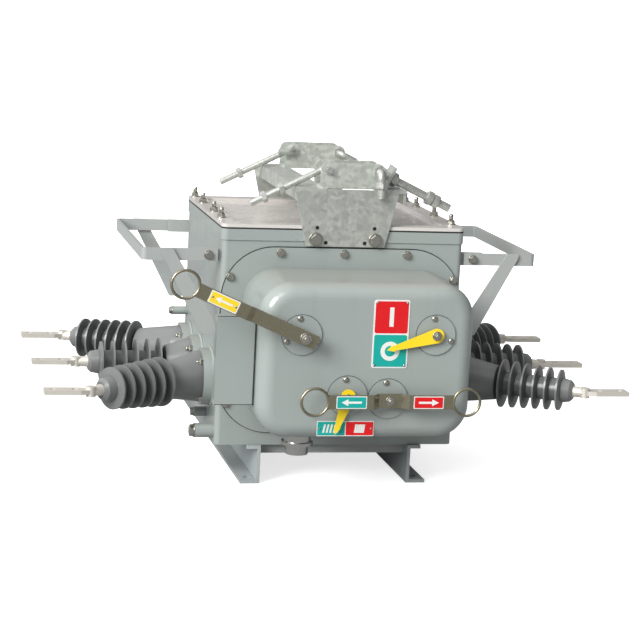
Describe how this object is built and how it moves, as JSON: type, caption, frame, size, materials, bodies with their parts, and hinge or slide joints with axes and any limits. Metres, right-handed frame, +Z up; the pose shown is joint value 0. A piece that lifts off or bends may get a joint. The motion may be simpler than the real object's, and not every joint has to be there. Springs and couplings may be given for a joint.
{
  "type": "outdoor vacuum circuit breaker",
  "caption": "Pole-mounted outdoor vacuum circuit breaker: grey steel tank with fanned bushings, a mechanism cover with hand levers and a galvanised hanging frame with hook bolts.",
  "frame": {"origin": "on the floor, at the centre of the four foot bolt holes", "axes": "+X to the right seen from the front with the levers, +Y to the back, +Z up"},
  "size_m": [1.078, 0.7025, 0.5886],
  "materials": {
    "grey_paint": "gloss",
    "galvanised": "mottled zinc",
    "silicone": "satin",
    "tinned": "satin",
    "stainless": "brushed",
    "yellow_paint": "gloss",
    "gasket_rubber": "matte"
  },
  "bodies": {
    "body": {"tank": "grey_paint", "lid_gasket": "gasket_rubber", "lid": "grey_paint", "mechanism_cover": "grey_paint", "pivot_plates": "grey_paint", "side_plate": "grey_paint", "left_bushing_seats": "grey_paint", "right_bushing_seats": "grey_paint", "left_front_bushing": "silicone", "left_middle_bushing": "silicone", "left_back_bushing": "silicone", "right_front_bushing": "silicone", "right_middle_bushing": "silicone", "right_back_bushing": "silicone", "left_front_terminal": "tinned", "left_middle_terminal": "tinned", "left_back_terminal": "tinned", "right_front_terminal": "tinned", "right_middle_terminal": "tinned", "right_back_terminal": "tinned", "front_hanger_plate": "galvanised", "back_hanger_plate": "galvanised", "left_hanger_rail": "galvanised", "right_hanger_rail": "galvanised", "front_channel": "galvanised", "back_channel": "galvanised", "left_handle": "grey_paint", "right_handle": "grey_paint", "handle_lugs": "grey_paint", "handle_braces": "grey_paint", "left_foot": "grey_paint", "right_foot": "grey_paint", "cross_bars": "grey_paint", "cable_gland": "stainless", "earth_bosses": "grey_paint"},
    "charging_lever": {"charging_lever": "stainless"},
    "trip_lever": {"trip_lever": "stainless"},
    "position_pointer": {"position_pointer": "yellow_paint"},
    "charge_pointer": {"charge_pointer": "yellow_paint"},
    "front_left_hook_bolt": {"front_left_hook_bolt": "galvanised"},
    "front_right_hook_bolt": {"front_right_hook_bolt": "galvanised"},
    "back_left_hook_bolt": {"back_left_hook_bolt": "galvanised"},
    "back_right_hook_bolt": {"back_right_hook_bolt": "galvanised"}
  },
  "joints": [
    {"name": "charging_lever_hinge", "type": "hinge", "parent": "body", "child": "charging_lever", "pos_m": [-0.11, -0.3825, 0.31], "axis": [0, -1, 0], "range_deg": [0, 65]},
    {"name": "trip_lever_hinge", "type": "hinge", "parent": "body", "child": "trip_lever", "pos_m": [0.0485, -0.3825, 0.198], "axis": [0, 1, 0], "range_deg": [-15, 15], "stiffness_Nm_per_rad": 2},
    {"name": "position_pointer_hinge", "type": "hinge", "parent": "body", "child": "position_pointer", "pos_m": [0.129, -0.3825, 0.312], "axis": [0, 1, 0], "range_deg": [0, 33]},
    {"name": "charge_pointer_hinge", "type": "hinge", "parent": "body", "child": "charge_pointer", "pos_m": [-0.024, -0.3825, 0.203], "axis": [0, -1, 0], "range_deg": [0, 35]},
    {"name": "front_left_hook_bolt_hinge", "type": "hinge", "parent": "body", "child": "front_left_hook_bolt", "pos_m": [-0.034, -0.1625, 0.5755], "axis": [0, 1, 0], "range_deg": [0, 110]},
    {"name": "front_right_hook_bolt_hinge", "type": "hinge", "parent": "body", "child": "front_right_hook_bolt", "pos_m": [0.058, -0.1625, 0.5755], "axis": [0, -1, 0], "range_deg": [0, 110]},
    {"name": "back_left_hook_bolt_hinge", "type": "hinge", "parent": "body", "child": "back_left_hook_bolt", "pos_m": [-0.034, 0.1625, 0.5755], "axis": [0, 1, 0], "range_deg": [0, 110]},
    {"name": "back_right_hook_bolt_hinge", "type": "hinge", "parent": "body", "child": "back_right_hook_bolt", "pos_m": [0.058, 0.1625, 0.5755], "axis": [0, -1, 0], "range_deg": [0, 110]}
  ]
}
